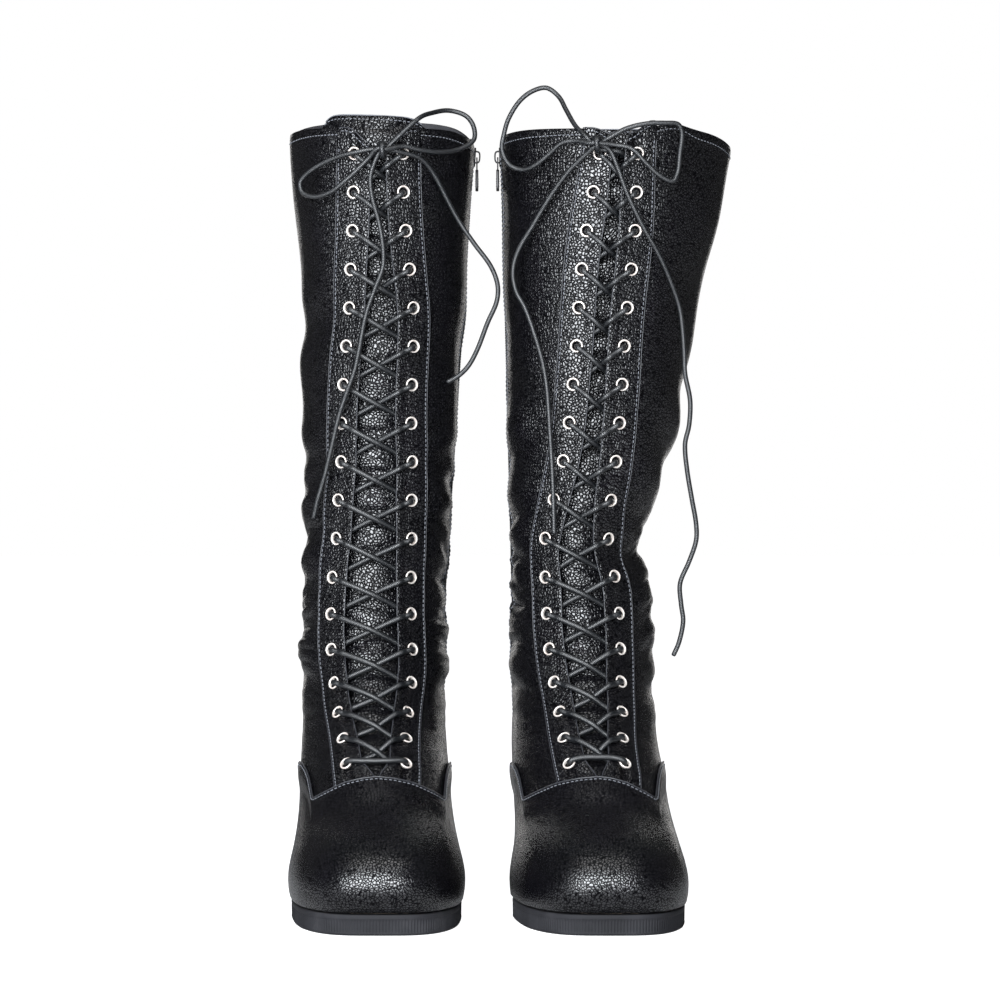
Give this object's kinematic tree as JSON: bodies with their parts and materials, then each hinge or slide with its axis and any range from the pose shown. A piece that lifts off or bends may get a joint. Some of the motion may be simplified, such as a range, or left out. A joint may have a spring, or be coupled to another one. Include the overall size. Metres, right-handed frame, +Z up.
{
  "type": "pair of boxing boots",
  "caption": "Pair of knee-high lace-up boxing boots in pebbled black leather, with eyelet facings, tied laces, inner side zips and flat rubber soles.",
  "frame": {"origin": "on the floor, at the middle of the box round the pair as it stands side by side", "axes": "+Z up, toes point along -Y, +X runs from the right boot to the left boot"},
  "size_m": [0.2676, 0.281, 0.4805],
  "materials": {
    "leather": "pebbled grain, semi-gloss",
    "lining": "smooth woven",
    "sole_rubber": "matte, finely ribbed edge",
    "eyelet_metal": "polished nickel",
    "lace_cord": "waxed braid",
    "zip_tape": "woven twill",
    "zip_coil": "nylon",
    "zip_metal": "black enamel",
    "board": "pressed fibre",
    "footbed": "foam with fabric cover",
    "stiffener": "moulded sheet"
  },
  "bodies": {
    "right_boot": {"right_back_strip": "leather", "right_foot_lining": "lining", "right_footbed": "footbed", "right_heel_counter": "stiffener", "right_heel_cover": "leather", "right_heel_lining": "lining", "right_inner_eyelets": "eyelet_metal", "right_inner_facing": "leather", "right_inner_quarter_front": "leather", "right_inner_quarter_rear": "leather", "right_insole_board": "board", "right_lace": "lace_cord", "right_outer_eyelets": "eyelet_metal", "right_outer_facing": "leather", "right_outer_quarter": "leather", "right_outsole": "sole_rubber", "right_shaft_lining_front": "lining", "right_shaft_lining_outer": "lining", "right_toe_puff": "stiffener", "right_vamp": "leather", "right_zip_bottom_stop": "zip_metal", "right_zip_coil_front": "zip_coil", "right_zip_coil_rear": "zip_coil", "right_zip_tape_front": "zip_tape", "right_zip_tape_rear": "zip_tape"},
    "right_slider": {"right_zip_slider": "zip_metal"},
    "right_pull": {"right_zip_pull": "zip_metal"},
    "right_tongue_flap": {"right_tongue": "leather"},
    "left_boot": {"left_back_strip": "leather", "left_foot_lining": "lining", "left_footbed": "footbed", "left_heel_counter": "stiffener", "left_heel_cover": "leather", "left_heel_lining": "lining", "left_inner_eyelets": "eyelet_metal", "left_inner_facing": "leather", "left_inner_quarter_front": "leather", "left_inner_quarter_rear": "leather", "left_insole_board": "board", "left_lace": "lace_cord", "left_outer_eyelets": "eyelet_metal", "left_outer_facing": "leather", "left_outer_quarter": "leather", "left_outsole": "sole_rubber", "left_shaft_lining_front": "lining", "left_shaft_lining_outer": "lining", "left_toe_puff": "stiffener", "left_vamp": "leather", "left_zip_bottom_stop": "zip_metal", "left_zip_coil_front": "zip_coil", "left_zip_coil_rear": "zip_coil", "left_zip_tape_front": "zip_tape", "left_zip_tape_rear": "zip_tape"},
    "left_slider": {"left_zip_slider": "zip_metal"},
    "left_pull": {"left_zip_pull": "zip_metal"},
    "left_tongue_flap": {"left_tongue": "leather"}
  },
  "joints": [
    {"name": "left_boot_lift", "type": "slide", "parent": "right_boot", "child": "left_boot", "axis": [0, 0, 1], "range_m": [0, 0.3]},
    {"name": "right_zip_slide", "type": "slide", "parent": "right_boot", "child": "right_slider", "axis": [-0.0641, -0.0208, -0.9977], "range_m": [0, 0.262]},
    {"name": "right_pull_swing", "type": "hinge", "parent": "right_slider", "child": "right_pull", "pos_m": [-0.02097, 0.06432, 0.44284], "axis": [0, -1, 0], "range_deg": [-2, 28]},
    {"name": "right_tongue_fold", "type": "hinge", "parent": "right_boot", "child": "right_tongue_flap", "pos_m": [-0.07575, -0.07465, 0.06515], "axis": [-1, 0, 0], "range_deg": [0, 6]},
    {"name": "left_zip_slide", "type": "slide", "parent": "left_boot", "child": "left_slider", "axis": [0.0246, -0.0208, -0.9995], "range_m": [0, 0.262]},
    {"name": "left_pull_swing", "type": "hinge", "parent": "left_slider", "child": "left_pull", "pos_m": [-0.00843, 0.06432, 0.44294], "axis": [0, 1, 0], "range_deg": [-2, 28]},
    {"name": "left_tongue_fold", "type": "hinge", "parent": "left_boot", "child": "left_tongue_flap", "pos_m": [0.04978, -0.07465, 0.06515], "axis": [-1, 0, 0], "range_deg": [0, 6]}
  ]
}
